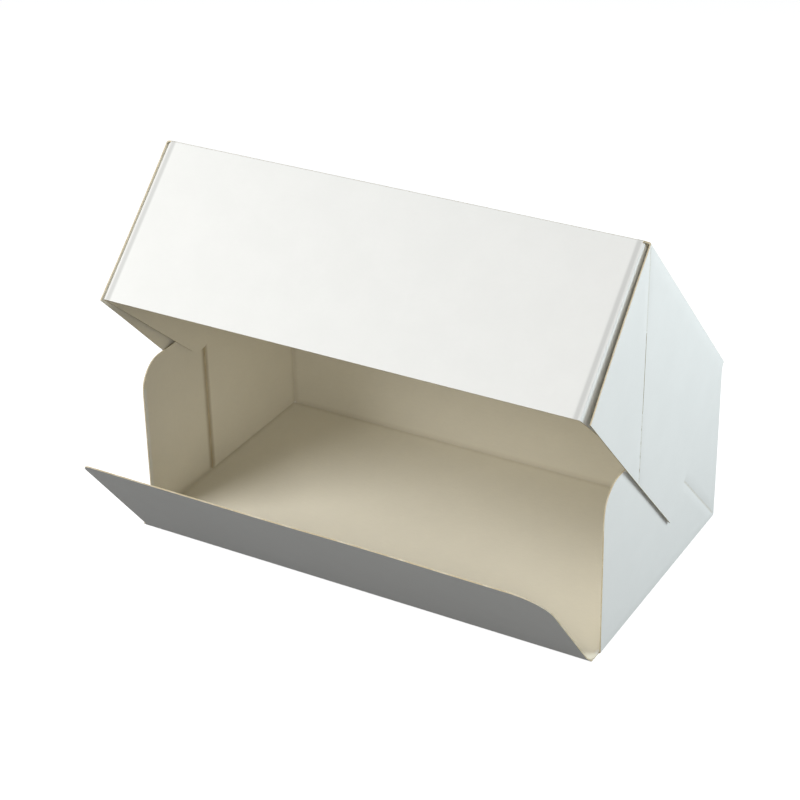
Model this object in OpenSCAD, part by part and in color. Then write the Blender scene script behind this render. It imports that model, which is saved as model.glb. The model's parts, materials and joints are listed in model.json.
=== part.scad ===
// Cake box of folding board, with a hinged lid and a front flap.
// One creased sheet makes the whole box. It is drawn as the three pieces that its two hinges leave:
// the tray, the lid and the front flap. Millimetres, +Z up, +X along the box, front towards -Y.
// The origin is the middle of the base, on its underside.

/* [Box] */
// Length over the two end walls
box_l = 250; // [180:1:330]
// Depth from the front crease to the back of the box
box_d = 142; // [125:1:200]
// Height from the table to the crease of the lid
box_h = 87; // [75:1:120]
// Thickness of the board
board = 0.6; // [0.4:0.05:0.9]
// Free play between layers that slide past each other
play = 0.3; // [0.2:0.05:0.5]

/* [End walls] */
// Distance of an end wall's front edge behind the front crease, at the base
wall_setback = 7.5; // [1:0.5:12]
// How far that edge leans back on its way to the top
wall_rake = 0.5; // [0:0.5:8]
// Radius of an end wall's upper front corner
wall_corner = 15; // [6:1:30]

/* [Back corner flaps] */
// Length of a back corner flap along the end wall
back_flap_l = 81; // [50:1:85]
// Distance of its upper edge below the top of the wall
back_flap_drop = 2.6; // [1:0.1:6]
// Radius of its upper front corner
back_flap_corner = 8; // [3:1:15]
// Radius of the relief at its lower back corner
back_flap_relief = 1.6; // [1:0.1:2.5]

/* [Lid] */
// Angle that the lid stands open
lid_open = 47; // [20:1:110]
// Height of the lid's hanging edges above the table when it is shut
lid_clearance = 3.2; // [3.2:0.1:6]
// Distance of a lid side's front edge behind the lid's front, at the top
side_setback = 1.5; // [1:0.5:12]
// How far that edge leans back on its way down
side_rake = 2; // [0:0.5:8]
// Distance of the foot of a lid side's diagonal crease behind the lid's front
crease_foot = 85; // [70:1:100]
// Length along that crease of the slit
slit_l = 40; // [20:1:60]
// Distance along that crease from its upper end to the slit
slit_start = 42; // [20:1:50]
// Width of the slit
slit_w = 0.5; // [0.3:0.1:1]

/* [Lid corner flaps] */
// Length of a lid corner flap along the lid side
lid_flap_l = 97; // [60:1:105]
// How much its lower edge rises over its length
lid_flap_rise = 9; // [4:1:16]
// Distance of its upper edge below the lid panel
lid_flap_gap = 1; // [0.5:0.1:4]
// Radius of its lower back corner
lid_flap_corner = 12; // [4:1:20]

/* [Front flap] */
// Angle that the front flap leans out from upright
flap_open = 38; // [20:1:70]
// Distance of the shut flap's top edge below the lid panel
flap_drop = 10; // [1:0.5:14]
// Radius of its two free corners
flap_corner = 17; // [6:1:30]
// Height of the narrowing at its root, above the base panel
flap_root_h = 1.8; // [1:0.1:2]

/* [Hidden] */
$fn = 96;

// Depth positions of the tray, and the half length over the end walls
front_y = -box_d/2;
back_y = box_d/2;
half_l = box_l/2;

// Layers at each end, from outside to inside: lid side, end wall, back corner flap, lid corner flap
side_in_x = half_l + play;
side_out_x = side_in_x + board;
wall_in_x = half_l - board;
back_flap_in_x = wall_in_x - board;
lid_flap_out_x = back_flap_in_x - play;
lid_flap_in_x = lid_flap_out_x - board;
flap_half_l = lid_flap_in_x - play;

// The shut lid's front panel hangs in front of the shut front flap
lid_front_in_y = front_y - board - play;
lid_front_out_y = lid_front_in_y - board;
side_front_y = lid_front_out_y + side_setback;
lid_rear_y = back_y - play;

// Heights, all for the shut box
wall_top = box_h - play;
skirt_h = box_h - lid_clearance;

// Crease lines that the lid and the front flap turn about, as [y, z]
lid_axis = [back_y, box_h];
flap_axis = [front_y, board];

// Unit vector from point a to point b
function unit(a, b) = (b - a)/norm(b - a);

// What a round of radius r takes off the corner of an outline at p, between neighbours a and b
module corner_waste(p, a, b, r) {
    to_a = unit(p, a);
    to_b = unit(p, b);
    half_angle = acos(to_a*to_b)/2;
    reach = r/tan(half_angle);
    middle = p + (to_a + to_b)/norm(to_a + to_b)*r/sin(half_angle);
    difference() {
        polygon([p, p + to_a*reach, middle, p + to_b*reach]);
        translate(middle) circle(r);
    }
}

// A panel across the box: its outline is drawn in Y and Z, and its thickness runs from x0 to x1
module end_panel(x0, x1) {
    translate([x0, 0, 0]) rotate([90, 0, 90]) linear_extrude(x1 - x0) children();
}

// A panel along the box: its outline is drawn in X and Z, and its thickness runs from y0 to y1
module long_panel(y0, y1) {
    translate([0, y1, 0]) rotate([90, 0, 0]) linear_extrude(y1 - y0) children();
}

// The same thing at both ends of the box
module both_ends() {
    children();
    mirror([1, 0, 0]) children();
}

module end_wall_outline() {
    foot = [front_y + wall_setback, 0];
    shoulder = [front_y + wall_setback + wall_rake, wall_top];
    heel = [back_y, wall_top];
    difference() {
        polygon([foot, shoulder, heel, [back_y, 0]]);
        corner_waste(shoulder, foot, heel, wall_corner);
    }
}

module back_flap_outline() {
    tip_y = back_y - board - back_flap_l;
    top = wall_top - back_flap_drop;
    tip = [tip_y, top];
    difference() {
        polygon([[tip_y, 0], tip, [back_y, top], [back_y, 0]]);
        corner_waste(tip, [tip_y, 0], [back_y, top], back_flap_corner);
        translate([back_y - board, board]) circle(back_flap_relief);
    }
}

module tray() {
    color("ivory") union() {
        translate([-half_l, front_y, 0]) cube([box_l, box_d, board]);
        long_panel(back_y - board, back_y) translate([-half_l, 0]) square([box_l, wall_top]);
        both_ends() {
            end_panel(wall_in_x, half_l) end_wall_outline();
            end_panel(back_flap_in_x, wall_in_x) back_flap_outline();
        }
    }
}

// A lid side hangs outside the end wall, and its diagonal crease is slit through in the middle
module lid_side_outline() {
    low = box_h - skirt_h;
    crease_top = [side_front_y, box_h];
    crease_end = [lid_front_out_y + crease_foot, low];
    along = unit(crease_top, crease_end);
    slit_at = crease_top + along*slit_start;
    difference() {
        polygon([
            [side_front_y, box_h + board], [side_front_y + side_rake, low],
            [lid_rear_y, low], [lid_rear_y, box_h + board]
        ]);
        translate(slit_at) rotate(atan2(along.y, along.x))
            translate([0, -slit_w/2]) square([slit_l, slit_w]);
    }
}

// Plan of the lid panel: its front corners are cut off between the lid's front and its sides
module lid_panel_outline() {
    polygon([
        [-lid_flap_out_x, lid_front_out_y], [lid_flap_out_x, lid_front_out_y],
        [side_out_x, side_front_y], [side_out_x, lid_rear_y],
        [-side_out_x, lid_rear_y], [-side_out_x, side_front_y]
    ]);
}

// A lid corner flap lies inside the end wall, so that the wall slides between it and the lid side
module lid_flap_outline() {
    low = box_h - skirt_h;
    high = box_h - lid_flap_gap;
    tip_y = lid_front_out_y + lid_flap_l;
    root_y = lid_front_out_y + board/2;
    root = [root_y, low];
    tip = [tip_y, low + lid_flap_rise];
    difference() {
        polygon([root, tip, [tip_y, high], [root_y, high]]);
        corner_waste(tip, root, [tip_y, high], lid_flap_corner);
    }
}

module shut_lid() {
    translate([0, 0, box_h]) linear_extrude(board) lid_panel_outline();
    long_panel(lid_front_out_y, lid_front_in_y)
        translate([-lid_flap_out_x, box_h - skirt_h]) square([2*lid_flap_out_x, skirt_h + board]);
    both_ends() {
        end_panel(side_in_x, side_out_x) lid_side_outline();
        end_panel(lid_flap_in_x, lid_flap_out_x) lid_flap_outline();
    }
}

module lid() {
    color("white")
        translate([0, lid_axis[0], lid_axis[1]]) rotate([-lid_open, 0, 0])
            translate([0, -lid_axis[0], -lid_axis[1]]) union() shut_lid();
}

// The upright front flap: as wide as the base at its root, then narrow enough for the shut lid
module front_flap_outline() {
    root_z = board + play;
    neck_z = board + flap_root_h;
    top = box_h - flap_drop;
    left = [-flap_half_l, top];
    right = [flap_half_l, top];
    difference() {
        polygon([
            [-half_l, root_z], [half_l, root_z], [flap_half_l, neck_z],
            right, left, [-flap_half_l, neck_z]
        ]);
        corner_waste(left, [-flap_half_l, neck_z], right, flap_corner);
        corner_waste(right, [flap_half_l, neck_z], left, flap_corner);
    }
}

module front_flap() {
    color("whitesmoke")
        translate([0, flap_axis[0], flap_axis[1]]) rotate([flap_open, 0, 0])
            translate([0, -flap_axis[0], -flap_axis[1]])
                long_panel(front_y - board, front_y) front_flap_outline();
}

tray();
lid();
front_flap();
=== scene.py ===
"""Looks of a folding board cake box.

One creased sheet of board makes the box. Each of its three moving parts is drawn as the flat piece
of the blank that it is, with its cut outline and slits, and is then folded up along its creases.
Lengths are in metres, +Z up, +X along the box, and the open front faces -Y.
"""

import json
import math

import bpy
import numpy as np
from mathutils import Matrix, Vector, geometry, noise


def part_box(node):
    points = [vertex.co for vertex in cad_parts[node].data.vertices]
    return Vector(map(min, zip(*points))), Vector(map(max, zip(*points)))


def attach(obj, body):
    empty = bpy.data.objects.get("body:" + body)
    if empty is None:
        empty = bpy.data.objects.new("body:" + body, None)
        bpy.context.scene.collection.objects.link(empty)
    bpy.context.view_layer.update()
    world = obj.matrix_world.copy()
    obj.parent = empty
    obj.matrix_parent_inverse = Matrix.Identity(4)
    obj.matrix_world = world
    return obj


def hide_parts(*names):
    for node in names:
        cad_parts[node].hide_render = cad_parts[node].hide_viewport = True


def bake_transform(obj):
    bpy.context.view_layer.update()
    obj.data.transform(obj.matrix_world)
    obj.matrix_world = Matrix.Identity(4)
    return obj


bl_info = {
    "name": "Cake Box",
    "version": (1, 0, 0),
    "blender": (4, 5, 0),
    "location": "View3D > Sidebar > Cake Box",
    "description": "Folds a cake box out of its flat blank and sets it on a studio floor",
    "category": "Object",
}

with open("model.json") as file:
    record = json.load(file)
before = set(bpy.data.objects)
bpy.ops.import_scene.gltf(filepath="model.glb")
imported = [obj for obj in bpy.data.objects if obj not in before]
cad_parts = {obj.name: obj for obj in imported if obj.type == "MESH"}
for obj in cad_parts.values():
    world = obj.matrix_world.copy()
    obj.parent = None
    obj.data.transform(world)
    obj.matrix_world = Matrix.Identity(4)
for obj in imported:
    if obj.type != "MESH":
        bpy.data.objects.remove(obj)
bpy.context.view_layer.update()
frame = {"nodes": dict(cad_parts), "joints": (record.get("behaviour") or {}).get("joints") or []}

MM = 0.001

LID_HINGE = next(j for j in frame["joints"] if j["child"] == "lid")
FLAP_HINGE = next(j for j in frame["joints"] if j["child"] == "front_flap")


def opening(hinge):
    """Turn, in the frame, from where the hinge's panel is shut to where it stands."""
    place = Matrix.Translation(Vector(hinge["pos_m"]))
    turn = Matrix.Rotation(math.radians(-hinge["range_deg"][0]), 4, Vector(hinge["axis"]))
    return place @ turn @ place.inverted()


def shut_box(node, hinge):
    """Lowest and highest corner of a node with its hinge shut."""
    shut = opening(hinge).inverted()
    corners = np.array([shut @ v.co for v in frame["nodes"][node].data.vertices])
    return Vector(corners.min(0)), Vector(corners.max(0))


# Sizes that the frame gives
TRAY_LOW, TRAY_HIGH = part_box("tray")
LID_LOW, LID_HIGH = shut_box("lid", LID_HINGE)
FLAP_LOW, FLAP_HIGH = shut_box("front_flap", FLAP_HINGE)
LID_AXIS = Vector(LID_HINGE["pos_m"])
FLAP_AXIS = Vector(FLAP_HINGE["pos_m"])
BOARD = FLAP_HIGH.y - FLAP_LOW.y
BOX_HALF = TRAY_HIGH.x
BOX_DEPTH = TRAY_HIGH.y - TRAY_LOW.y
WALL_TOP = TRAY_HIGH.z
LID_HALF = LID_HIGH.x
LID_DEPTH = LID_HIGH.y - LID_LOW.y
LID_DROP = LID_HIGH.z - LID_LOW.z
PLAY = LID_HALF - BOARD - BOX_HALF
LID_FLAP_HALF = BOX_HALF - 2 * BOARD - PLAY
FLAP_HEIGHT = FLAP_HIGH.z - FLAP_AXIS.z

# Slack for a point on a panel's border, and what a fold's mesh lines run past its panels
SLACK = 1e-7
SPARE = 0.05 * MM

# A mesh edge that turns more than this shows as sharp
SHARP = math.radians(40)

# Back wall: flat board that ends below the lid's hinge, and its upper ends in from its folds
BACK_GAP = 0.5 * MM
BACK_INSET = 0.4 * MM

# Start and end of an end wall's collapse crease, from its lower back corner
COLLAPSE_START = 3 * MM
COLLAPSE_END = 60 * MM

# Painted shadow along a back corner flap's front edge, on the flap and on the end wall: its foot above the
# base, its top below the wall's top
SHADOW_FOOT = 3 * MM
SHADOW_DROP = 12 * MM

# Nicks that carry a lid side's slit on, and how far the scores and nicks stop short of an end
NICK_LENGTH = 1.6 * MM
NICK_PITCH = 7.0 * MM
NICK_WIDTH = 0.3 * MM
SCORE_MARGIN = 1 * MM
END_MARGIN = 2 * MM

# Painted shade: a grey line on the lid's front, in from its fold with a corner flap, where that fold turns
# away from the lamps
FOLD_SHADE_INSET = 2.4 * MM

# Cuts along a hinge's strip, and how far apart its lines lie on the blank
STRIP_CUTS = 51
STRIP_PITCH = 0.2 * MM

# Lamps: what they aim at, and the place, the size and the colour of each
LAMP_AIM = (0, 0, 0.08)
KEY_LAMP = ((-0.60, -0.72, 0.76), (0.6, 0.5), (1.0, 0.995, 0.97))
SIDE_LAMP = ((0.62, 0.32, 0.42), (0.45, 0.35), (0.9, 0.98, 1.0))
FILL_LAMP = ((0.45, -0.55, 0.34), (0.45, 0.35), (1.0, 0.99, 0.96))

# Floor and camera
FLOOR_HALF = 3.0
FLOOR_DROP = 0.2 * MM
SENSOR_WIDTH = 36
NEAR_CLIP = 0.05
FAR_CLIP = 30


def length(name, description, default):
    """A size in metres for a settings group."""
    return bpy.props.FloatProperty(
        name=name, description=description, default=default, precision=5, unit="LENGTH", subtype="DISTANCE"
    )


def amount(name, description, default):
    """A plain number for a settings group."""
    return bpy.props.FloatProperty(name=name, description=description, default=default, precision=4)


def angle(name, description, degrees):
    """An angle for a settings group."""
    return bpy.props.FloatProperty(
        name=name, description=description, default=math.radians(degrees), unit="ROTATION", subtype="ANGLE"
    )


def colour(name, description, red, green, blue):
    """A colour for a settings group."""
    return bpy.props.FloatVectorProperty(
        name=name,
        description=description,
        default=(red, green, blue),
        size=3,
        min=0,
        max=1,
        subtype="COLOR",
    )


class CakeBoxBoard(bpy.types.PropertyGroup):
    """The board and its three finishes"""

    crease_radius: length("Crease radius", "Radius of the coated face round a square fold", 0.9 * MM)
    mesh_step: length("Mesh step", "Distance between the points of a flat panel", 5 * MM)
    score_width: length("Score width", "Half width of a scored line that isn't folded", 0.7 * MM)
    score_depth: length("Score depth", "Depth of a scored line that isn't folded", 0.16 * MM)
    coated: colour("Coated face", "Clay coating on the outside", 0.90, 0.905, 0.895)
    uncoated: colour("Uncoated face", "Bare board on the inside", 0.88, 0.835, 0.715)
    core: colour("Core", "Tan core that a cut or a cracked fold shows", 0.60, 0.51, 0.35)
    # Painted shade: this brown darkens the bare face in its creases and paints the shadow along a back corner
    # flap's edge
    shade: colour("Shade", "Brown of a pressed line or a crease on the bare face", 0.36, 0.28, 0.15)
    bead: length("Bead", "Radius of the ridge that a score raises inside its fold", 0.24 * MM)


class CakeBoxTray(bpy.types.PropertyGroup):
    """Base, back wall, end walls and the glued back corner flaps"""

    front_setback: length("Front setback", "End wall's front edge behind the front crease", 7.5 * MM)
    wall_rake: length("Wall rake", "How far that edge leans back on its way up", 0.5 * MM)
    base_corner: length("Base corner", "Radius of the base's two front corners", 1.6 * MM)
    wall_corner: length("Wall corner", "Radius of the upper front corner", 15.0 * MM)
    rear_gap: length("Rear gap", "End wall's rear edge in front of the back", 0.95 * MM)
    flap_length: length("Corner flap length", "Length of a back corner flap", 81.0 * MM)
    flap_drop: length("Corner flap drop", "Its upper edge below the top of the wall", 2.6 * MM)
    flap_corner: length("Corner flap corner", "Radius of its upper front corner", 8.0 * MM)
    relief: length("Corner relief", "Radius of the relief where three creases meet", 0.8 * MM)
    hinge_gap: length("Hinge gap", "Flat board that ends before a hinge crease", 1.0 * MM)


class CakeBoxLid(bpy.types.PropertyGroup):
    """Lid panel, hanging front, hanging sides and the corner flaps of the front"""

    side_setback: length("Side setback", "Lid side's front edge behind the lid's front, at the top", 1.5 * MM)
    side_rake: length("Side rake", "How far that edge leans back on its way down", 2.0 * MM)
    rear_trim: length("Rear trim", "Board cut off the upper rear corner of a lid side", 2.0 * MM)
    crease_foot: length("Crease foot", "Foot of the diagonal crease behind the lid's front", 85.0 * MM)
    slit_start: length("Slit start", "Distance along that crease to the slit", 42.0 * MM)
    slit_length: length("Slit length", "Length of the slit", 40.0 * MM)
    slit_width: length("Slit width", "Width of the slit", 0.5 * MM)
    flap_length: length("Corner flap length", "Length of a lid corner flap", 97.0 * MM)
    flap_rise: length("Corner flap rise", "How much its lower edge rises", 9.0 * MM)
    flap_gap: length("Corner flap gap", "Its upper edge below the lid panel", 1.0 * MM)
    flap_corner: length("Corner flap corner", "Radius of its lower back corner", 12.0 * MM)


class CakeBoxFrontFlap(bpy.types.PropertyGroup):
    """The flap hinged to the front of the base"""

    corner: length("Corner", "Radius of its right free corner", 17.0 * MM)
    left_corner: length("Left corner", "Radius of its left free corner, sharper in the photo", 6.0 * MM)
    side_play: length("Side play", "Each side edge inside the lid's corner flaps", 0.45 * MM)
    root_height: length("Root height", "Height of the narrowing at its root", 1.8 * MM)
    wave: length("Wave", "How far its free edge strays from straight", 0.5 * MM)


class CakeBoxStage(bpy.types.PropertyGroup):
    """Camera, lamps and floor"""

    azimuth: angle("Azimuth", "Camera round the box, from the front towards the right end", 30.34)
    elevation: angle("Elevation", "Camera above the table", 29.23)
    roll: angle("Roll", "Camera turned about its view axis", -1.32)
    distance: length("Distance", "Camera from the point that it aims at", 1090.3 * MM)
    aim_right: length("Aim right", "Aimed point to the right of the middle of the base", -14.55 * MM)
    aim_up: length("Aim up", "Aimed point above the middle of the base, in the picture", 60.15 * MM)
    lens: length("Lens", "Focal length", 97.23 * MM)
    floor: colour("Floor", "The floor in the lamps' light", 0.50, 0.50, 0.50)
    glow: colour("Floor glow", "What the floor shows where no light reaches it", 0.81, 0.81, 0.81)
    bounce: colour("Floor bounce", "The floor as it lights the object", 0.04, 0.04, 0.037)
    sky: colour("Sky", "Colour of the even light", 0.96, 0.98, 1.0)
    sky_light: amount("Sky light", "Strength of the even light", 0.12)
    key_power: amount("Key", "Power of the lamp at the front left, in watts", 10.8)
    side_power: amount("Side", "Power of the lamp behind the right end, in watts", 4.5)
    fill_power: amount("Fill", "Power of the lamp in front of the right end, in watts", 1.1)


# Flat blank


def arc(centre, radius, start, stop, count):
    """Points round a centre from one angle to another, in degrees."""
    turns = [math.radians(start + (stop - start) * i / count) for i in range(count + 1)]
    return [(centre[0] + radius * math.cos(t), centre[1] + radius * math.sin(t)) for t in turns]


def rounded(corner, before, after, radius, count=10):
    """The arc that replaces a corner between its two neighbours."""
    p, a, b = (Vector(v) for v in (corner, before, after))
    to_a = (a - p).normalized()
    to_b = (b - p).normalized()
    half = to_a.angle(to_b) / 2
    centre = p + (to_a + to_b).normalized() * radius / math.sin(half)
    start = p + to_a * radius / math.tan(half) - centre
    sweep = start.angle_signed(p + to_b * radius / math.tan(half) - centre)
    points = []
    for i in range(count + 1):
        turned = Matrix.Rotation(-sweep * i / count, 2) @ start
        points.append(tuple(centre + turned))
    return points


def mirrored(half):
    """A whole outline from its right half, which starts and ends on the middle line."""
    return half + [(-x, y) for x, y in reversed(half) if x > 1e-9]


def spaced(points, step, closed=False):
    """The same line with points no further apart than step."""
    ends = points[1:] + points[:1] if closed else points[1:]
    made = []
    for a, b in zip(points, ends):
        parts = max(1, math.ceil(math.dist(a, b) / step))
        made += [tuple(Vector(a).lerp(Vector(b), i / parts)) for i in range(parts)]
    return made if closed else made + [tuple(points[-1])]


def inside(points, loop):
    """Which of the points lie inside a closed loop."""
    loop = np.asarray(loop)
    found = np.zeros(len(points), bool)
    for a, b in zip(loop, np.roll(loop, -1, axis=0)):
        spans = (a[1] > points[:, 1]) != (b[1] > points[:, 1])
        rise = b[1] - a[1] if b[1] != a[1] else 1.0
        found ^= spans & (points[:, 0] < a[0] + (points[:, 1] - a[1]) * (b[0] - a[0]) / rise)
    return found


def clear_of(points, lines, gap):
    """Which of the points lie at least gap away from every line."""
    clear = np.ones(len(points), bool)
    for line in lines:
        for a, b in zip(np.asarray(line[:-1]), np.asarray(line[1:])):
            along = b - a
            share = np.clip((points - a) @ along / max(along @ along, 1e-18), 0, 1)
            clear &= np.linalg.norm(points - a - share[:, None] * along, axis=1) > gap
    return clear


def triangulated(outline, holes, lines, step):
    """Flat mesh of a blank: its points, and triangles that follow the outline, holes and lines."""
    loops = [spaced(loop, step, closed=True) for loop in [outline, *holes]]
    marks = [spaced(line, step) for line in lines]
    low = np.min(loops[0], axis=0)
    high = np.max(loops[0], axis=0)
    rows = [np.arange(low[i] + step / 2, high[i], step) for i in (0, 1)]
    grid = np.stack(np.meshgrid(*rows), -1).reshape(-1, 2)
    grid = grid[inside(grid, loops[0])]
    grid = grid[clear_of(grid, [loop + loop[:1] for loop in loops] + marks, step * 0.45)]
    points = []
    edges = []
    for line, closed in [(loop, True) for loop in loops] + [(mark, False) for mark in marks]:
        first = len(points)
        points += line
        edges += [(first + i, first + i + 1) for i in range(len(line) - 1)]
        if closed:
            edges.append((len(points) - 1, first))
    points += [tuple(p) for p in grid]
    scale = 1 / MM
    made = geometry.delaunay_2d_cdt([Vector(p) * scale for p in points], edges, [], 0, 1e-5)
    flat = np.array([tuple(v) for v in made[0]]) * MM
    faces = np.array(made[2])
    middles = flat[faces].mean(axis=1)
    kept = inside(middles, loops[0])
    for loop in loops[1:]:
        kept &= ~inside(middles, loop)
    faces = faces[kept]
    used, faces = np.unique(faces, return_inverse=True)
    return flat[used], faces.reshape(-1, 3)


class BoxedSheet:
    """A central panel with one long wall, two sides, and corner flaps from the wall inside the sides.

    A flat point is (s, w): s along the box from its middle, w from the free edge to the long wall.
    A folded point is (x, d, h): d from the free edge, h up from the coated face of the panel.
    """

    def __init__(self, radius, side_half, flap_half, depth, side_end):
        self.radius = radius
        self.side_half = side_half
        self.flap_half = flap_half
        self.depth = depth
        self.side_end = side_end

    def past(self, edge, height):
        """Flat distance of a point at a height on the wall that is folded up at an edge."""
        return edge - self.radius + self.radius * math.pi / 2 + (height - self.radius)

    def side(self, w, h):
        """Flat point of a place on a side."""
        return (self.past(self.side_half, h), w)

    def corner_flap(self, n, h):
        """Flat point of a place on a corner flap, n in from the face of the long wall."""
        return (self.past(self.flap_half, n), self.past(self.depth, h))

    def bend(self, flat, edge):
        """Where flat distances end up, past a square fold at an edge: (out, up)."""
        turn = np.clip((flat - edge + self.radius) / self.radius, 0, math.pi / 2)
        beyond = np.maximum(flat - edge + self.radius - self.radius * math.pi / 2, 0)
        out = np.minimum(flat, edge - self.radius) + self.radius * np.sin(turn)
        return out, self.radius * (1 - np.cos(turn)) + beyond

    def fold(self, flat):
        """Folded points of flat points."""
        s = np.abs(flat[:, 0])
        w = flat[:, 1]
        d, up = self.bend(w, self.depth)
        side_x, side_up = self.bend(s, self.side_half)
        flap_x, flap_in = self.bend(s, self.flap_half)
        on_wall = w > self.depth - self.radius + SLACK
        on_side = w <= self.side_end + SLACK
        x = np.where(on_wall, flap_x, np.where(on_side, side_x, s))
        h = np.where(on_wall, up, np.where(on_side, side_up, 0))
        d = np.where(on_wall, d - flap_in, d)
        return np.stack([np.sign(flat[:, 0]) * x, d, h], axis=1)

    def crease_lines(self, side_from, side_to, flap_from, flap_to, count=5):
        """Lines that let the mesh turn at its creases, for both ends."""
        lines = []
        for i in range(count + 1):
            past = i * self.radius * math.pi / 2 / count - self.radius
            w = self.depth + past
            reach = self.flap_half - self.radius + SPARE
            lines.append([(-reach, w), (reach, w)])
            for sign in (-1, 1):
                s = sign * (self.side_half + past)
                lines.append([(s, side_from - SPARE), (s, side_to + SPARE)])
                s = sign * (self.flap_half + past)
                top = self.past(self.depth, flap_to) + SPARE
                lines.append([(s, self.past(self.depth, flap_from) - SPARE), (s, top)])
        return lines


def score_lines(a, b, width):
    """A scored line and its two sides, for both ends."""
    along = (Vector(b) - Vector(a)).normalized()
    across = Vector((-along.y, along.x)) * width
    lines = []
    for offset in (-1, 0, 1):
        shift = across * offset
        line = [tuple(Vector(a) + shift), tuple(Vector(b) + shift)]
        lines += [line, [(-x, y) for x, y in line]]
    return lines


def slot(a, b, width):
    """Outline of a narrow slit from a to b."""
    along = (Vector(b) - Vector(a)).normalized()
    across = Vector((-along.y, along.x)) * width / 2
    a = Vector(a)
    b = Vector(b)
    return [tuple(p) for p in (a - across, b - across, b + along * width / 2, b + across, a + across)]


def flipped(loop):
    """A loop at the other end of the box."""
    return [(-x, y) for x, y in reversed(loop)]


# Folded meshes


def distance_to(flat, a, b):
    """Distance of flat points, both ends taken together, from the line between a and b."""
    points = np.stack([np.abs(flat[:, 0]), flat[:, 1]], axis=1)
    a = np.array(a)
    along = np.array(b) - a
    share = np.clip((points - a) @ along / (along @ along), 0, 1)
    return np.linalg.norm(points - a - share[:, None] * along, axis=1)


def flat_3d(flat):
    """Flat points with a third coordinate of zero."""
    return np.column_stack([flat, np.zeros(len(flat))])


def board_object(name, places, flat, faces, finishes, scores, board):
    """Gives a folded sheet its thickness, its scored lines and its three finishes."""
    mesh = bpy.data.meshes.new(name)
    mesh.from_pydata([tuple(p) for p in places], [], [tuple(f) for f in faces])
    mesh.update()
    normals = np.array([tuple(v.normal) for v in mesh.vertices])
    sunk = np.zeros(len(places))
    for a, b in scores:
        near = 1 - distance_to(flat, a, b) / board.score_width
        sunk = np.maximum(sunk, np.clip(near, 0, 1) * board.score_depth)
    places = places - normals * sunk[:, None]
    mesh.vertices.foreach_set("co", places.astype(np.float32).ravel())
    blank = mesh.attributes.new("blank", "FLOAT_VECTOR", "POINT")
    blank.data.foreach_set("vector", flat_3d(flat).astype(np.float32).ravel())
    for finish in finishes:
        mesh.materials.append(finish)
    made = bpy.data.objects.new(name, mesh)
    bpy.context.scene.collection.objects.link(made)
    solid = made.modifiers.new("Board", "SOLIDIFY")
    solid.thickness = BOARD
    solid.offset = -1
    solid.use_even_offset = True
    solid.material_offset = 1
    solid.material_offset_rim = 2
    return plain(made)


def plain(made):
    """The same object with its modifiers taken into its mesh, and sharp only at cut edges."""
    graph = bpy.context.evaluated_depsgraph_get()
    mesh = bpy.data.meshes.new_from_object(made.evaluated_get(graph))
    made.modifiers.clear()
    made.data = mesh
    mesh.name = made.name
    mesh.shade_smooth()
    mesh.set_sharp_from_angle(angle=SHARP)
    return made


def ripple(points, wavelength, seed):
    """Gentle random unevenness of a sheet, from -1 to 1, the same on each run."""
    offset = Vector((seed, seed * 2, seed * 3))
    return np.array([noise.noise(Vector(p) / wavelength + offset) for p in points])


# Shader maths


class Wire:
    """A value in a material. Arithmetic on it adds the nodes that work it out."""

    def __init__(self, maker, socket):
        self.maker = maker
        self.socket = socket

    def maths(self, operation, *values):
        return self.maker.add("ShaderNodeMath", {"operation": operation}, dict(enumerate(values)))

    def __add__(self, other):
        return self.maths("ADD", self, other)

    def __radd__(self, other):
        return self.maths("ADD", other, self)

    def __sub__(self, other):
        return self.maths("SUBTRACT", self, other)

    def __rsub__(self, other):
        return self.maths("SUBTRACT", other, self)

    def __mul__(self, other):
        return self.maths("MULTIPLY", self, other)

    def __rmul__(self, other):
        return self.maths("MULTIPLY", other, self)

    def __abs__(self):
        return self.maths("ABSOLUTE", self)

    def lower(self, other):
        return self.maths("MINIMUM", self, other)

    def higher(self, other):
        return self.maths("MAXIMUM", self, other)


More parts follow.
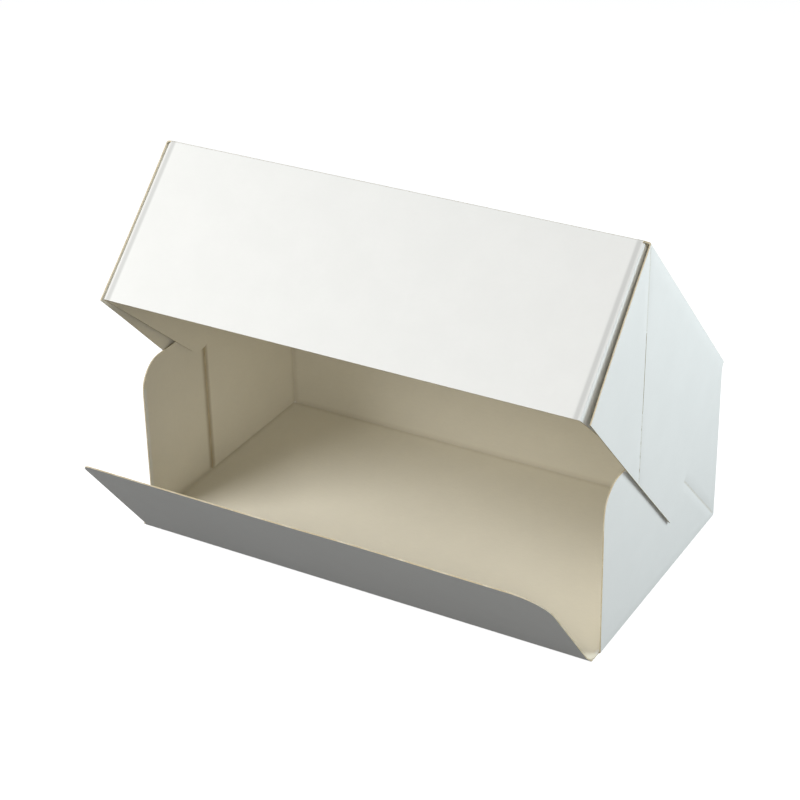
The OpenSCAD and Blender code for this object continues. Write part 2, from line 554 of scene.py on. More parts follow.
class NodeMaker:
    """A tree of shader nodes that comes from expressions."""

    def __init__(self, tree):
        self.tree = tree
        self.tree.nodes.clear()

    def add(self, kind, settings=None, values=None, output=0):
        """Adds a node: its settings are set first, then the values or links of its sockets."""
        node = self.tree.nodes.new(kind)
        for key, value in (settings or {}).items():
            setattr(node, key, value)
        for key, value in (values or {}).items():
            if isinstance(value, Wire):
                self.tree.links.new(value.socket, node.inputs[key])
            else:
                node.inputs[key].default_value = value
        return Wire(self, node.outputs[output])

    def vector(self, operation, *values, output=0):
        return self.add("ShaderNodeVectorMath", {"operation": operation}, dict(enumerate(values)), output)

    def parts(self, vector):
        """The three parts of a vector."""
        split = self.add("ShaderNodeSeparateXYZ", values={0: vector})
        node = split.socket.node
        return [Wire(self, socket) for socket in node.outputs]

    def joined(self, x, y, z):
        return self.add("ShaderNodeCombineXYZ", values={0: x, 1: y, 2: z})

    def mix(self, share, a, b):
        """One colour over another by a share."""
        settings = {"data_type": "RGBA", "clamp_factor": True}
        return self.add("ShaderNodeMix", settings, {0: share, 6: a, 7: b}, output=2)

    def ease(self, value, low, high):
        """0 below low, 1 above high, and smooth between."""
        settings = {"interpolation_type": "SMOOTHSTEP"}
        return self.add("ShaderNodeMapRange", settings, {0: value, 1: low, 2: high})

    def noise(self, place, size, detail=2.0, roughness=0.5):
        """Noise from 0 to 1 with features of a size in metres."""
        values = {"Vector": place, "Scale": 1 / size, "Detail": detail, "Roughness": roughness}
        return self.add("ShaderNodeTexNoise", None, values)

    def blank_place(self):
        """Place on the flat blank, in metres."""
        settings = {"attribute_type": "GEOMETRY", "attribute_name": "blank"}
        return self.add("ShaderNodeAttribute", settings, output=1)

    def object_place(self):
        return self.add("ShaderNodeTexCoord", output=3)

    def distance(self, place, a, b):
        """Distance on the blank from the line between a and b, the same at both ends."""
        along = Vector((b[0] - a[0], b[1] - a[1], 0))
        from_start = self.vector("SUBTRACT", place, (a[0], a[1], 0))
        share = self.vector("DOT_PRODUCT", from_start, tuple(along / along.length_squared), output=1)
        share = share.higher(0.0).lower(1.0)
        reached = self.add(
            "ShaderNodeVectorMath", {"operation": "SCALE"}, {0: tuple(along), "Scale": share}
        )
        return self.vector("LENGTH", self.vector("SUBTRACT", from_start, reached), output=1)

    def nearest(self, place, lines):
        """Distance on the blank from the nearest of some lines."""
        x, y = self.parts(place)[:2]
        both_ends = self.joined(abs(x), y, 0.0)
        found = None
        for a, b in lines:
            one = self.distance(both_ends, a, b)
            found = one if found is None else found.lower(one)
        return found

    def band(self, place, lines, full, none):
        """1 within one distance of the lines, 0 beyond another, and smooth between."""
        return 1 - self.ease(self.nearest(place, lines), full, none)

    def seen(self):
        """1 for the camera, for gloss and for glass, and 0 for the light that an object gets."""
        path = self.add("ShaderNodeLightPath")
        outputs = path.socket.node.outputs
        gloss = Wire(self, outputs["Is Glossy Ray"])
        return path.higher(gloss).higher(Wire(self, outputs["Is Transmission Ray"]))

    def bump(self, height, distance):
        return self.add("ShaderNodeBump", None, {"Height": height, "Distance": distance})

    def close(self, shader, kind):
        """Ends the tree in an output node."""
        out = self.tree.nodes.new(kind)
        self.tree.links.new(shader.socket, out.inputs["Surface"])


class Finish(NodeMaker):
    """A material."""

    def __init__(self, name):
        self.material = bpy.data.materials.new(name)
        self.material.use_nodes = True
        super().__init__(self.material.node_tree)

    def surface(self, values):
        shader = self.add("ShaderNodeBsdfPrincipled", None, values)
        self.close(shader, "ShaderNodeOutputMaterial")
        return self.material


def rgba(shade, light=1.0):
    """A colour for a socket, with its brightness changed by a factor."""
    return (shade[0] * light, shade[1] * light, shade[2] * light, 1.0)


def coated_finish(name, board, creases, fold_shade_lines):
    """Smooth white clay coating, cracked in places along its folds, with painted shade in a grey line beside
    a fold where one is given.
    """
    finish = Finish(name)
    flat = finish.blank_place()
    cloud = finish.noise(flat, 22 * MM, 3.0, 0.6)
    fibre = finish.noise(finish.vector("MULTIPLY", flat, (0.45, 1.0, 1.0)), 1.1 * MM, 4.0, 0.62)
    base = finish.mix(finish.ease(cloud, 0.30, 0.72), rgba(board.coated, 0.985), rgba(board.coated, 1.01))
    base = finish.mix((fibre - 0.5) * 0.5 + 0.25, base, rgba(board.coated, 0.95))
    # Painted shade: a grey line beside the lid's front fold, where the fold turns away from the light
    if fold_shade_lines:
        base = finish.mix(finish.band(flat, fold_shade_lines, 0.4 * MM, 1.9 * MM) * 0.7, base, rgba(board.coated, 0.66))
    flecks = finish.ease(finish.noise(flat, 0.9 * MM, 3.0, 0.7), 0.50, 0.66)
    crack = finish.band(flat, creases, 0.12 * MM, 0.85 * MM) * (flecks * 0.45 + 0.22)
    base = finish.mix(crack, base, rgba(board.core, 0.8))
    rough = 0.42 + (cloud - 0.5) * 0.10 + (fibre - 0.5) * 0.12 + crack * 0.3
    relief = fibre * 0.6 + finish.noise(flat, 6 * MM, 2.0) * 1.6
    return finish.surface(
        {
            "Base Color": base,
            "Roughness": rough,
            "Specular IOR Level": 0.02,
            "Normal": finish.bump(relief, 0.012 * MM),
        }
    )


def uncoated_finish(name, board, creases, shadowed, rims):
    """Bare board with fibres and specks: painted shade in its creases, a painted shadow along a corner flap's
    edge, and pale at its rims.
    """
    finish = Finish(name)
    flat = finish.blank_place()
    cloud = finish.noise(flat, 16 * MM, 4.0, 0.62)
    fibre = finish.noise(finish.vector("MULTIPLY", flat, (0.3, 1.0, 1.0)), 1.3 * MM, 5.0, 0.66)
    specks = finish.ease(finish.noise(flat, 1.6 * MM, 2.0, 0.5), 0.70, 0.76)
    base = finish.mix(finish.ease(cloud, 0.28, 0.74), rgba(board.uncoated, 0.985), rgba(board.uncoated, 1.01))
    base = finish.mix((fibre - 0.5) * 0.9 + 0.3, base, rgba(board.uncoated, 0.93))
    base = finish.mix(specks * 0.10, base, rgba(board.core))
    # Painted shade: the bare face darkens towards brown within a few millimetres of its inside folds
    base = finish.mix(finish.band(flat, creases, 0.3 * MM, 4.0 * MM) * 0.20, base, rgba(board.shade))
    if rims:
        base = finish.mix(finish.band(flat, rims, 1.6 * MM, 2.8 * MM) * 0.6, base, rgba(board.coated, 0.97))
    # Painted shadow in brown along a back corner flap's front edge
    if shadowed:
        base = finish.mix(finish.band(flat, shadowed, 0.4 * MM, 3.2 * MM) * 0.6, base, rgba(board.shade))
    relief = fibre + finish.noise(flat, 5 * MM, 2.0) * 1.5
    return finish.surface(
        {
            "Base Color": base,
            "Roughness": 0.78 + (fibre - 0.5) * 0.2,
            "Specular IOR Level": 0.25,
            "Normal": finish.bump(relief, 0.03 * MM),
        }
    )


def core_finish(name, board):
    """The cut edge: compressed fibres in thin layers."""
    finish = Finish(name)
    place = finish.object_place()
    streaks = finish.noise(place, 0.5 * MM, 4.0, 0.7)
    patches = finish.noise(place, 7 * MM, 2.0)
    base = finish.mix(streaks, rgba(board.core, 0.8), rgba(board.core, 1.3))
    base = finish.mix(finish.ease(patches, 0.45, 0.7) * 0.5, base, rgba(board.uncoated, 0.95))
    return finish.surface(
        {
            "Base Color": base,
            "Roughness": 0.85 + (streaks - 0.5) * 0.2,
            "Specular IOR Level": 0.2,
            "Normal": finish.bump(streaks, 0.05 * MM),
        }
    )


def core_of(board):
    """The cut edge's finish, made once."""
    return bpy.data.materials.get("board_core") or core_finish("board_core", board)


# Tray


def tray_sheet(board, tray):
    """The sheet that folds up into the tray."""
    return BoxedSheet(
        board.crease_radius, BOX_HALF, BOX_HALF - BOARD, BOX_DEPTH, BOX_DEPTH - tray.rear_gap
    )


def tray_outline(sheet, tray):
    """Right half of the tray's blank, from the middle of the front to the middle of the back wall."""
    foot = sheet.side(tray.front_setback, sheet.radius)
    shoulder = sheet.side(tray.front_setback + tray.wall_rake, WALL_TOP)
    heel = sheet.side(sheet.side_end, WALL_TOP)
    near = tray.rear_gap
    far = WALL_TOP - tray.flap_drop
    inner = sheet.flap_half - sheet.radius
    reach = BOARD + tray.flap_length
    tip = sheet.corner_flap(reach, far)
    low_tip = sheet.corner_flap(reach, near)
    middle = (sheet.flap_half, (sheet.side_end + sheet.past(sheet.depth, near)) / 2)
    bite = math.degrees(math.asin((middle[1] - sheet.side_end) / tray.relief))
    relief = arc(middle, tray.relief, -bite, bite - 360, 14)
    back_top = sheet.past(sheet.depth, WALL_TOP - BACK_GAP)
    trim = tray.hinge_gap
    side = BOX_HALF - sheet.radius
    return [
        (0, trim),
        *rounded((side, trim), (0, trim), (side, tray.front_setback), tray.base_corner, 6),
        (side, tray.front_setback),
        foot,
        *rounded(shoulder, foot, heel, tray.wall_corner),
        heel,
        *relief,
        low_tip,
        *rounded(tip, low_tip, (inner, tip[1]), tray.flap_corner),
        (inner - BACK_INSET, tip[1]),
        (inner - BACK_INSET, back_top),
        (0, back_top),
    ]


def tray_creases(sheet, tray):
    """Folded creases of the tray on its blank, one end."""
    fold_s = sheet.side_half - sheet.radius * (1 - math.pi / 4)
    fold_w = sheet.depth - sheet.radius * (1 - math.pi / 4)
    flap_s = sheet.flap_half - sheet.radius * (1 - math.pi / 4)
    return [
        ((fold_s, tray.front_setback), (fold_s, sheet.side_end)),
        ((0, fold_w), (sheet.flap_half - sheet.radius, fold_w)),
        ((flap_s, sheet.past(sheet.depth, tray.rear_gap)), (flap_s, sheet.past(sheet.depth, WALL_TOP))),
    ]


def tray_bow(flat, places, sheet):
    """How far each point of the tray strays from flat: (x, d, h)."""
    strayed = np.zeros_like(places)
    wall = np.clip(places[:, 2] / WALL_TOP, 0, 1)
    on_side = (np.abs(flat[:, 0]) > sheet.side_half) & (flat[:, 1] <= sheet.side_end)
    free = np.clip(1 - places[:, 1] / (0.4 * sheet.depth), 0, 1)
    lean = 0.35 * MM * wall * free * (1 + 0.6 * ripple(places, 45 * MM, 3))
    strayed[:, 0] -= np.sign(places[:, 0]) * np.where(on_side, lean, 0)
    on_back = (flat[:, 1] > sheet.depth) & (np.abs(flat[:, 0]) < sheet.flap_half - sheet.radius)
    across = np.cos(np.clip(places[:, 0] / sheet.flap_half, -1, 1) * math.pi / 2)
    belly = 0.5 * MM * across * np.sin(wall * math.pi) * (1 + 0.5 * ripple(places, 60 * MM, 5))
    strayed[:, 1] -= np.where(on_back, belly, 0)
    return strayed


def tray_places(flat, sheet, raised=0):
    """Where points of the tray's blank stand, raised by so much off its coated face."""
    places = sheet.fold(flat)
    places = places + tray_bow(flat, places, sheet) + raised
    return places + np.array([0, TRAY_LOW.y, 0])


def build_tray(board, tray):
    sheet = tray_sheet(board, tray)
    outline = mirrored(tray_outline(sheet, tray))
    collapse = [sheet.side(sheet.depth - reach, reach) for reach in (COLLAPSE_START, COLLAPSE_END)]
    scores = [tuple(collapse)]
    lines = sheet.crease_lines(
        tray.front_setback, sheet.side_end, tray.rear_gap, WALL_TOP - tray.flap_drop
    )
    for a, b in scores:
        lines += score_lines(a, b, board.score_width)
    flat, faces = triangulated(outline, [], lines, board.mesh_step)
    places = tray_places(flat, sheet)
    creases = tray_creases(sheet, tray)
    reach = BOARD + tray.flap_length
    # Painted shadow lines along the front edge of each back corner flap, on the flap and on the end wall
    # behind it
    shadow_top = WALL_TOP - SHADOW_DROP
    flap_edge_shadows = [
        (sheet.side(sheet.depth - reach, SHADOW_FOOT), sheet.side(sheet.depth - reach, shadow_top)),
        (sheet.corner_flap(reach, SHADOW_FOOT), sheet.corner_flap(reach, shadow_top)),
    ]
    rim_top = (tray.front_setback + tray.wall_rake, WALL_TOP - tray.wall_corner)
    rims = [(sheet.side(tray.front_setback, 0), sheet.side(*rim_top))]
    finishes = [
        coated_finish("tray_coated", board, creases + scores, []),
        uncoated_finish("tray_uncoated", board, creases, flap_edge_shadows, rims),
        core_of(board),
    ]
    return board_object("tray_sheet", places, flat, faces[:, ::-1], finishes, scores, board)


# Lid


def lid_outline(sheet, lid):
    """Right half of the lid's blank, from the middle of its rear edge to the middle of its front."""
    trim = bpy.context.scene.cake_box_tray.hinge_gap - PLAY
    inner = sheet.flap_half - sheet.radius
    rear_low = sheet.side(0, LID_DROP)
    front_low = sheet.side(sheet.side_end - lid.side_rake, LID_DROP)
    gap = BOARD + lid.flap_gap
    near = sheet.past(sheet.depth, gap)
    tongue = sheet.depth - sheet.radius - SPARE
    root = sheet.corner_flap(sheet.radius, LID_DROP)
    high_tip = sheet.corner_flap(lid.flap_length, gap)
    tip = sheet.corner_flap(lid.flap_length, LID_DROP - lid.flap_rise)
    return [
        (0, trim),
        (BOX_HALF - BOARD, trim),
        (BOX_HALF - BOARD, 0),
        (sheet.side_half - sheet.radius, 0),
        sheet.side(lid.rear_trim, sheet.radius),
        sheet.side(0, 3 * lid.rear_trim),
        rear_low,
        front_low,
        (sheet.side_half - sheet.radius, sheet.side_end),
        (inner, tongue),
        (inner, near),
        high_tip,
        *rounded(tip, high_tip, root, lid.flap_corner),
        root,
        (inner, root[1]),
        (0, root[1]),
    ]


def lid_diagonal(sheet, lid):
    """Upper and lower end of the diagonal crease of a lid side, on the blank."""
    top = sheet.side(sheet.side_end, BOARD)
    foot_w = LID_DEPTH - lid.crease_foot
    return Vector(top), Vector(sheet.side(foot_w, LID_DROP))


def lid_slits(sheet, lid):
    """The long slit and the row of short nicks along the diagonal crease, one end."""
    top, foot = lid_diagonal(sheet, lid)
    along = (foot - top).normalized()
    slit_end = lid.slit_start + lid.slit_length
    slits = [slot(top + along * lid.slit_start, top + along * slit_end, lid.slit_width)]
    place = slit_end + NICK_PITCH
    while place + NICK_LENGTH < (foot - top).length - END_MARGIN:
        slits.append(slot(top + along * place, top + along * (place + NICK_LENGTH), NICK_WIDTH))
        place += NICK_PITCH
    return slits


def lid_bow(flat, places, sheet, lid):
    """How far each point of the lid strays from flat: (x, d, h)."""
    strayed = np.zeros_like(places)
    drop = np.clip(places[:, 2] / LID_DROP, 0, 1)
    sign = np.sign(places[:, 0])
    across = np.cos(np.clip(places[:, 0] / sheet.flap_half, -1, 1) * math.pi / 2)
    on_side = (np.abs(flat[:, 0]) > sheet.side_half) & (flat[:, 1] <= sheet.side_end)
    along = np.clip(places[:, 1] / sheet.depth, 0, 1)
    flare = drop**1.5 * (0.5 + 0.9 * along**2) * (1 + 0.35 * ripple(places, 40 * MM, 7))
    strayed[:, 0] += sign * np.where(on_side, 0.9 * MM * flare, 0)
    on_wall = flat[:, 1] > sheet.depth
    on_front = on_wall & (np.abs(flat[:, 0]) < sheet.flap_half - sheet.radius)
    belly = across * (0.55 * np.sin(drop * math.pi) + 0.30 * drop * ripple(places, 70 * MM, 11))
    strayed[:, 1] += np.where(on_front, belly * MM, 0)
    on_flap = on_wall & (np.abs(flat[:, 0]) > sheet.flap_half)
    inward = np.clip((sheet.depth - places[:, 1]) / lid.flap_length, 0, 1) ** 1.5
    strayed[:, 0] -= sign * np.where(on_flap, 0.8 * MM * inward, 0)
    on_top = (np.abs(flat[:, 0]) < sheet.side_half) & (flat[:, 1] < sheet.depth)
    rise = 0.6 * MM * across * np.sin(along * math.pi)
    strayed[:, 2] -= np.where(on_top, rise, 0)
    return strayed


def lid_places(flat, sheet, lid, raised=0):
    """Where points of the lid's blank stand, raised by so much off its coated face."""
    places = sheet.fold(flat)
    places = places + lid_bow(flat, places, sheet, lid) + raised
    shut = np.stack([places[:, 0], LID_HIGH.y - places[:, 1], LID_HIGH.z - places[:, 2]], axis=1)
    turn = opening(LID_HINGE)
    return np.array([tuple(turn @ Vector(p)) for p in shut])


def lid_sheet(board, lid):
    """The sheet that folds down into the lid."""
    return BoxedSheet(
        board.crease_radius, LID_HALF, LID_FLAP_HALF, LID_DEPTH, LID_DEPTH - lid.side_setback
    )


def build_lid(board, lid):
    sheet = lid_sheet(board, lid)
    outline = mirrored(lid_outline(sheet, lid))
    slits = lid_slits(sheet, lid)
    top, foot = lid_diagonal(sheet, lid)
    along = (foot - top).normalized()
    scores = [
        (top + along * END_MARGIN, top + along * (lid.slit_start - SCORE_MARGIN)),
        (top + along * (lid.slit_start + lid.slit_length + SCORE_MARGIN), foot - along * SCORE_MARGIN),
    ]
    lines = sheet.crease_lines(0, sheet.side_end, BOARD + lid.flap_gap, LID_DROP)
    for a, b in scores:
        lines += score_lines(a, b, board.score_width)
    holes = slits + [flipped(hole) for hole in slits]
    flat, faces = triangulated(outline, holes, lines, board.mesh_step)
    places = lid_places(flat, sheet, lid)
    creases = lid_creases(sheet, lid)
    # Painted shade line on the lid's front, beside its fold with a corner flap
    fold_shade_at = sheet.flap_half - FOLD_SHADE_INSET
    fold_shade_lines = [((fold_shade_at, sheet.depth), (fold_shade_at, sheet.past(sheet.depth, LID_DROP)))]
    finishes = [
        coated_finish("lid_coated", board, creases[:2] + scores, fold_shade_lines),
        uncoated_finish("lid_uncoated", board, creases, [], []),
        core_of(board),
    ]
    return board_object("lid_sheet", places, flat, faces[:, ::-1], finishes, scores, board)


def lid_creases(sheet, lid):
    """Folded creases of the lid on its blank, one end."""
    middle = sheet.radius * (1 - math.pi / 4)
    fold_s = sheet.side_half - middle
    fold_w = sheet.depth - middle
    flap_s = sheet.flap_half - middle
    near = sheet.past(sheet.depth, BOARD + lid.flap_gap)
    return [
        ((fold_s, 0), (fold_s, sheet.side_end)),
        ((0, fold_w), (sheet.flap_half, fold_w)),
        ((flap_s, near), (flap_s, sheet.past(sheet.depth, LID_DROP))),
    ]


# Front flap


def build_front_flap(board, flap):
    """The front flap, drawn upright as (s, w) with w up from its hinge, then laid open."""
    trim = bpy.context.scene.cake_box_tray.hinge_gap
    root = BOX_HALF - BACK_INSET
    half = LID_FLAP_HALF - BOARD - flap.side_play
    top = (half, FLAP_HEIGHT)
    neck = (half, trim + flap.root_height)
    left_top = (-half, FLAP_HEIGHT)
    left_neck = (-half, neck[1])
    outline = [
        (-root, trim),
        (root, trim),
        neck,
        *rounded(top, neck, left_top, flap.corner, 14),
        *rounded(left_top, top, left_neck, flap.left_corner, 10),
        left_neck,
    ]
    flat, faces = triangulated(outline, [], [], board.mesh_step)
    share = flat[:, 1] / FLAP_HEIGHT
    stray = flap.wave * share**1.5 * ripple(flat_3d(flat), 75 * MM, 13)
    stray += 0.5 * MM * np.sin(share * math.pi) * np.cos(flat[:, 0] / half * math.pi / 2)
    turn = opening(FLAP_HINGE)
    upright = np.stack([flat[:, 0], FLAP_LOW.y - stray, FLAP_AXIS.z + flat[:, 1]], axis=1)
    places = np.array([tuple(turn @ Vector(p)) for p in upright])
    creases = [((0, 0), (root, 0))]
    finishes = [
        coated_finish("flap_coated", board, creases, []),
        uncoated_finish("flap_uncoated", board, creases, [], []),
        core_of(board),
    ]
    return board_object("front_flap_sheet", places, flat, faces, finishes, [], board)


# Beads of the creases


def bead_tree():
    """Geometry Nodes that run a round bead along every edge of a path."""
    tree = bpy.data.node_groups.new("crease_beads", "GeometryNodeTree")
    tree.interface.new_socket("Path", in_out="INPUT", socket_type="NodeSocketGeometry")
    inputs = {
        "Radius": tree.interface.new_socket("Radius", in_out="INPUT", socket_type="NodeSocketFloat"),
        "Sides": tree.interface.new_socket("Sides", in_out="INPUT", socket_type="NodeSocketInt"),
        "Finish": tree.interface.new_socket("Finish", in_out="INPUT", socket_type="NodeSocketMaterial"),
    }
    tree.interface.new_socket("Beads", in_out="OUTPUT", socket_type="NodeSocketGeometry")
    given = tree.nodes.new("NodeGroupInput")
    curve = tree.nodes.new("GeometryNodeMeshToCurve")
    profile = tree.nodes.new("GeometryNodeCurvePrimitiveCircle")
    sweep = tree.nodes.new("GeometryNodeCurveToMesh")
    real = tree.nodes.new("GeometryNodeRealizeInstances")
    paint = tree.nodes.new("GeometryNodeSetMaterial")
    result = tree.nodes.new("NodeGroupOutput")
    sweep.inputs["Fill Caps"].default_value = True
    links = [
        (given.outputs["Path"], curve.inputs["Mesh"]),
        (given.outputs["Radius"], profile.inputs["Radius"]),
        (given.outputs["Sides"], profile.inputs["Resolution"]),
        (curve.outputs["Curve"], sweep.inputs["Curve"]),
        (profile.outputs["Curve"], sweep.inputs["Profile Curve"]),
        (sweep.outputs["Mesh"], real.inputs["Geometry"]),
        (real.outputs["Geometry"], paint.inputs["Geometry"]),
        (given.outputs["Finish"], paint.inputs["Material"]),
        (paint.outputs["Geometry"], result.inputs["Beads"]),
    ]
    for start, end in links:
        tree.links.new(start, end)
    return tree, {name: socket.identifier for name, socket in inputs.items()}


def bead_finish(board):
    """Bare board whose fibres a fold has strained."""
    finish = Finish("crease_bead")
    fibre = finish.noise(finish.object_place(), 0.8 * MM, 4.0, 0.65)
    base = finish.mix(fibre, rgba(board.uncoated, 0.80), rgba(board.uncoated, 0.98))
    return finish.surface(
        {
            "Base Color": base,
            "Roughness": 0.8 + (fibre - 0.5) * 0.2,
            "Specular IOR Level": 0.2,
            "Normal": finish.bump(fibre, 0.03 * MM),
        }
    )


def bead_paths(creases, place, step):
    """Points and edges of the paths inside the folds at both ends, one path for each crease."""
    slant = math.sqrt(0.5) * BOARD
    inwards = [(-slant, 0, slant), (0, -slant, slant), (-slant, -slant, 0)]
    points = []
    edges = []
    for (a, b), inward in zip(creases, inwards):
        for sign in (1, -1):
            line = np.array(spaced([a, b], step)) * (sign, 1)
            path = place(line, np.array(inward) * (sign, 1, 1))
            edges += [(len(points) + i, len(points) + i + 1) for i in range(len(path) - 1)]
            points += [tuple(p) for p in path]
    return points, edges


def build_beads(name, paths, board):
    """One mesh of the beads that the scores raise inside the folds of a body."""
    points, edges = paths
    mesh = bpy.data.meshes.new(name)
    mesh.from_pydata(points, edges, [])
    made = bpy.data.objects.new(name, mesh)
    bpy.context.scene.collection.objects.link(made)
    tree, sockets = bead_tree()
    finish = bpy.data.materials.get("crease_bead") or bead_finish(board)
    nodes = made.modifiers.new("Beads", "NODES")
    nodes.node_group = tree
    nodes[sockets["Radius"]] = board.bead
    nodes[sockets["Sides"]] = 8
    nodes[sockets["Finish"]] = finish
    return plain(made)


def tray_bead_paths(board, tray):
    sheet = tray_sheet(board, tray)
    creases = tray_creases(sheet, tray)
    return bead_paths(creases, lambda flat, raised: tray_places(flat, sheet, raised), board.mesh_step)


def lid_bead_paths(board, lid):
    sheet = lid_sheet(board, lid)
    creases = lid_creases(sheet, lid)
    return bead_paths(creases, lambda flat, raised: lid_places(flat, sheet, lid, raised), board.mesh_step)


# Hinge creases


def eased_curve(start, start_way, stop, stop_way, count=8):
    """Smooth curve in Y and Z from a point that heads one way to a point that heads another."""
    reach = math.dist(start, stop) * 0.4
    first = Vector(start) + Vector(start_way) * reach
    last = Vector(stop) - Vector(stop_way) * reach
    curve = geometry.interpolate_bezier(
        Vector((*start, 0)), Vector((*first, 0)), Vector((*last, 0)), Vector((*stop, 0)), count + 1
    )
    return [(p.x, p.y) for p in curve]


def hinge_strip(name, half, outer, inner, finishes):
    """A strip of board along a hinge, between its coated line and its bare line in Y and Z."""
    steps = np.linspace(-half, half, STRIP_CUTS)
    section = outer + inner[::-1]
    count = len(section)
    points = [(x, y, z) for x in steps for y, z in section]
    faces = []
    kinds = []
    for i in range(len(steps) - 1):
        for j in range(count):
            k = (j + 1) % count
            a, b = i * count, (i + 1) * count
            faces.append((a + j, a + k, b + k, b + j))
            kinds.append(0 if j < len(outer) - 1 else 1 if len(outer) <= j < count - 1 else 2)
    faces += [tuple(range(count))[::-1], tuple((len(steps) - 1) * count + j for j in range(count))]
    kinds += [2, 2]
    mesh = bpy.data.meshes.new(name)
    mesh.from_pydata(points, [], faces)
    for finish in finishes:
        mesh.materials.append(finish)
    mesh.polygons.foreach_set("material_index", kinds)
    blank = mesh.attributes.new("blank", "FLOAT_VECTOR", "POINT")
    lengths = [(p[0], (j % count) * STRIP_PITCH, 0.0) for j, p in enumerate(points)]
    blank.data.foreach_set("vector", np.array(lengths, np.float32).ravel())
    made = bpy.data.objects.new(name, mesh)
    bpy.context.scene.collection.objects.link(made)
    return plain(made)


def panel_line(hinge, point, way):
    """A point of the shut panel and the way it runs, in Y and Z, where the panel stands."""
    turn = opening(hinge)
    place = turn @ Vector((0, *point))
    heading = turn.to_3x3() @ Vector((0, *way))
    return (place.y, place.z), (heading.y, heading.z)


def build_lid_hinge(board, tray):
    gap = tray.hinge_gap
    top = WALL_TOP - BACK_GAP
    outer_end, way = panel_line(LID_HINGE, (LID_AXIS.y - gap, LID_HIGH.z), (-1, 0))
    inner_end, way = panel_line(LID_HINGE, (LID_AXIS.y - gap, LID_AXIS.z), (-1, 0))
    outer = eased_curve((TRAY_HIGH.y, top), (0, 1), outer_end, way)
    inner = eased_curve((TRAY_HIGH.y - BOARD, top), (0, 1), inner_end, way)
    half = BOX_HALF - BOARD - board.crease_radius - BACK_INSET
    finishes = [bpy.data.materials["lid_coated"], bpy.data.materials["lid_uncoated"], core_of(board)]
    return hinge_strip("lid_hinge_crease", half, outer, inner, finishes), outer[0], outer[-1]


def build_flap_hinge(board, tray):
    gap = tray.hinge_gap
    outer_end, way = panel_line(FLAP_HINGE, (FLAP_LOW.y, FLAP_AXIS.z + gap), (0, 1))
    inner_end, way = panel_line(FLAP_HINGE, (FLAP_AXIS.y, FLAP_AXIS.z + gap), (0, 1))
    outer = eased_curve((FLAP_AXIS.y + gap, TRAY_LOW.z), (-1, 0), outer_end, way)
    inner = eased_curve((FLAP_AXIS.y + gap, BOARD), (-1, 0), inner_end, way)
    half = BOX_HALF - board.crease_radius
    finishes = [bpy.data.materials["flap_coated"], bpy.data.materials["flap_uncoated"], core_of(board)]
    return hinge_strip("flap_hinge_crease", half, outer[::-1], inner[::-1], finishes), outer[0], outer[-1]


# Stage


def area_lamp(name, lamp_facts, power):
    """A lamp at its place, turned to the box."""
    place, size, shade = lamp_facts
    light = bpy.data.lights.new(name, "AREA")
    light.shape = "RECTANGLE"
    light.size, light.size_y = size
    light.energy = power
    light.color = shade
    lamp = bpy.data.objects.new(name, light)
    lamp.location = place
    lamp.rotation_euler = (Vector(LAMP_AIM) - Vector(place)).to_track_quat("-Z", "Y").to_euler()
    bpy.context.scene.collection.objects.link(lamp)
    return lamp


def stage_world(stage):
    """Dim even light, with a white background for the camera, for gloss and for glass."""
    world = bpy.data.worlds.new("studio")
    world.use_nodes = True
    bpy.context.scene.world = world
    maker = NodeMaker(world.node_tree)
    dim = maker.add("ShaderNodeBackground", None, {"Color": rgba(stage.sky), "Strength": stage.sky_light})
    white = maker.add("ShaderNodeBackground", None, {"Color": (1.0, 1.0, 1.0, 1.0), "Strength": 1.0})
    both = maker.add("ShaderNodeMixShader", None, {0: maker.seen(), 1: dim, 2: white})
    maker.close(both, "ShaderNodeOutputWorld")


def floor_finish(stage):
    """White floor that keeps the object's shadow and gives back less light to the object than it shows."""
    finish = Finish("studio_floor")
    seen = finish.seen()
    grain = finish.noise(finish.object_place(), 3 * MM)
    pale = finish.mix(grain, rgba(stage.floor, 0.99), rgba(stage.floor, 1.01))
    return finish.surface(
        {
            "Base Color": finish.mix(seen, rgba(stage.bounce), pale),
            "Emission Color": finish.mix(seen, (0.0, 0.0, 0.0, 1.0), rgba(stage.glow)),
            "Emission Strength": 1.0,
            "Roughness": 0.9,
            "Specular IOR Level": 0.0,
        }
    )


def build_floor(stage):
    half = FLOOR_HALF
    corners = [(-half, -half, 0), (half, -half, 0), (half, half, 0), (-half, half, 0)]
    mesh = bpy.data.meshes.new("studio_floor")
    mesh.from_pydata(corners, [], [(0, 1, 2, 3)])
    mesh.materials.append(floor_finish(stage))
    floor = bpy.data.objects.new("studio_floor", mesh)
    floor.data.transform(Matrix.Translation((0, 0, -FLOOR_DROP)))
    bpy.context.scene.collection.objects.link(floor)
    return floor


def build_camera(stage):
    a, e = stage.azimuth, stage.elevation
    back = Vector((math.sin(a) * math.cos(e), -math.cos(a) * math.cos(e), math.sin(e)))
    level = Vector((math.cos(a), math.sin(a), 0))
    roll = Matrix.Rotation(stage.roll, 3, back)
    right = roll @ level
    up = back.cross(right)
    aim = right * stage.aim_right + up * stage.aim_up
    data = bpy.data.cameras.new("camera")
    data.sensor_fit = "HORIZONTAL"
    data.sensor_width = SENSOR_WIDTH
    data.lens = stage.lens / MM
    data.clip_start = NEAR_CLIP
    data.clip_end = FAR_CLIP
    camera = bpy.data.objects.new("camera", data)
    turn = Matrix((right, up, back)).transposed()
    camera.matrix_world = Matrix.Translation(aim + back * stage.distance) @ turn.to_4x4()
    bpy.context.scene.collection.objects.link(camera)
    bpy.context.scene.camera = camera


# Operators


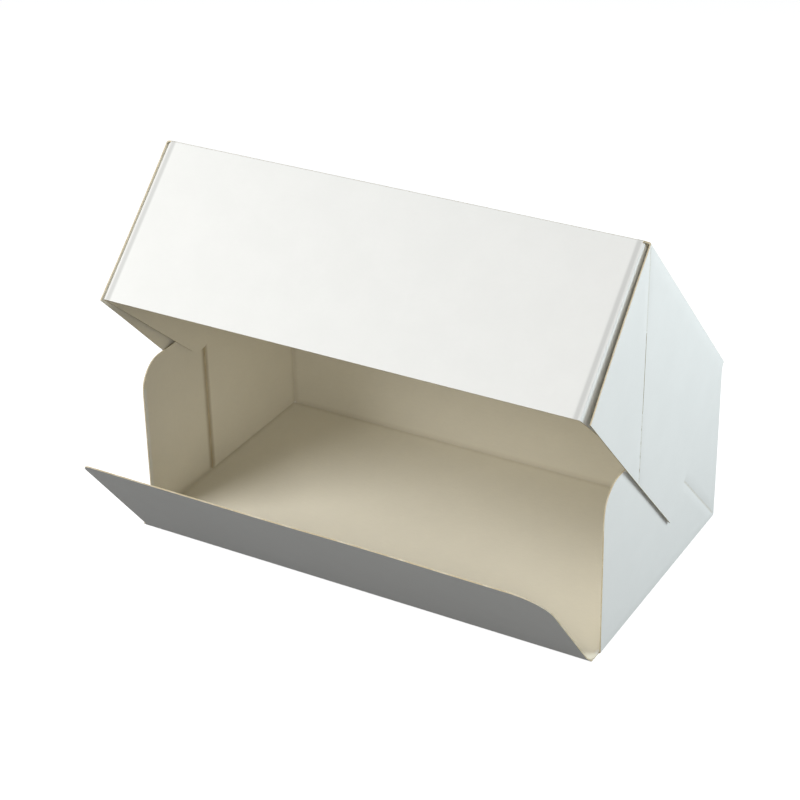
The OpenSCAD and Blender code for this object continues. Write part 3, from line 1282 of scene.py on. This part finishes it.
class CAKEBOX_OT_tray(bpy.types.Operator):
    """Fold the tray: base, back wall, end walls and back corner flaps"""

    bl_idname = "cake_box.tray"
    bl_label = "Fold Tray"

    def execute(self, context):
        made = build_tray(context.scene.cake_box_board, context.scene.cake_box_tray)
        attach(made, "tray")
        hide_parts("tray")
        return {"FINISHED"}


class CAKEBOX_OT_lid(bpy.types.Operator):
    """Fold the lid: its panel, front, sides and corner flaps"""

    bl_idname = "cake_box.lid"
    bl_label = "Fold Lid"

    def execute(self, context):
        made = build_lid(context.scene.cake_box_board, context.scene.cake_box_lid)
        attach(made, "lid")
        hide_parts("lid")
        return {"FINISHED"}


class CAKEBOX_OT_front_flap(bpy.types.Operator):
    """Cut the front flap and lay it open"""

    bl_idname = "cake_box.front_flap"
    bl_label = "Lay Front Flap Open"

    def execute(self, context):
        made = build_front_flap(context.scene.cake_box_board, context.scene.cake_box_front_flap)
        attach(made, "front_flap")
        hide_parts("front_flap")
        return {"FINISHED"}


class CAKEBOX_OT_beads(bpy.types.Operator):
    """Raise the beads of the scores inside the folds of the tray and the lid"""

    bl_idname = "cake_box.beads"
    bl_label = "Raise Crease Beads"

    def execute(self, context):
        board = context.scene.cake_box_board
        made = build_beads("tray_crease_beads", tray_bead_paths(board, context.scene.cake_box_tray), board)
        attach(made, "tray")
        made = build_beads("lid_crease_beads", lid_bead_paths(board, context.scene.cake_box_lid), board)
        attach(made, "lid")
        return {"FINISHED"}


class CAKEBOX_OT_hinges(bpy.types.Operator):
    """Join the lid and the front flap to the tray with their creases"""

    bl_idname = "cake_box.hinges"
    bl_label = "Join Hinge Creases"

    def execute(self, context):
        board = context.scene.cake_box_board
        tray = context.scene.cake_box_tray
        made, start, end = build_lid_hinge(board, tray)
        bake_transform(made)
        made, start, end = build_flap_hinge(board, tray)
        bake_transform(made)
        return {"FINISHED"}


class CAKEBOX_OT_stage(bpy.types.Operator):
    """Set the floor, the lamps and the camera"""

    bl_idname = "cake_box.stage"
    bl_label = "Set Stage"

    def execute(self, context):
        stage = context.scene.cake_box_stage
        build_floor(stage)
        stage_world(stage)
        area_lamp("key", KEY_LAMP, stage.key_power)
        area_lamp("side", SIDE_LAMP, stage.side_power)
        area_lamp("fill", FILL_LAMP, stage.fill_power)
        build_camera(stage)
        context.scene.view_settings.view_transform = "Standard"
        return {"FINISHED"}


class CAKEBOX_PT_panel(bpy.types.Panel):
    """The steps that make the cake box"""

    bl_idname = "CAKEBOX_PT_panel"
    bl_label = "Cake Box"
    bl_space_type = "VIEW_3D"
    bl_region_type = "UI"
    bl_category = "Cake Box"

    def draw(self, context):
        for operator in OPERATORS:
            self.layout.operator(operator.bl_idname)


GROUPS = {
    "cake_box_board": CakeBoxBoard,
    "cake_box_tray": CakeBoxTray,
    "cake_box_lid": CakeBoxLid,
    "cake_box_front_flap": CakeBoxFrontFlap,
    "cake_box_stage": CakeBoxStage,
}
OPERATORS = (
    CAKEBOX_OT_stage,
    CAKEBOX_OT_tray,
    CAKEBOX_OT_lid,
    CAKEBOX_OT_front_flap,
    CAKEBOX_OT_beads,
    CAKEBOX_OT_hinges,
)


def register():
    for name, group in GROUPS.items():
        bpy.utils.register_class(group)
        setattr(bpy.types.Scene, name, bpy.props.PointerProperty(type=group))
    for kind in (*OPERATORS, CAKEBOX_PT_panel):
        bpy.utils.register_class(kind)


def unregister():
    for kind in (CAKEBOX_PT_panel, *reversed(OPERATORS)):
        bpy.utils.unregister_class(kind)
    for name, group in reversed(GROUPS.items()):
        delattr(bpy.types.Scene, name)
        bpy.utils.unregister_class(group)


def main():
    register()
    bpy.ops.cake_box.stage()
    bpy.ops.cake_box.tray()
    bpy.ops.cake_box.lid()
    bpy.ops.cake_box.front_flap()
    bpy.ops.cake_box.beads()
    bpy.ops.cake_box.hinges()


if __name__ == "__main__":
    main()
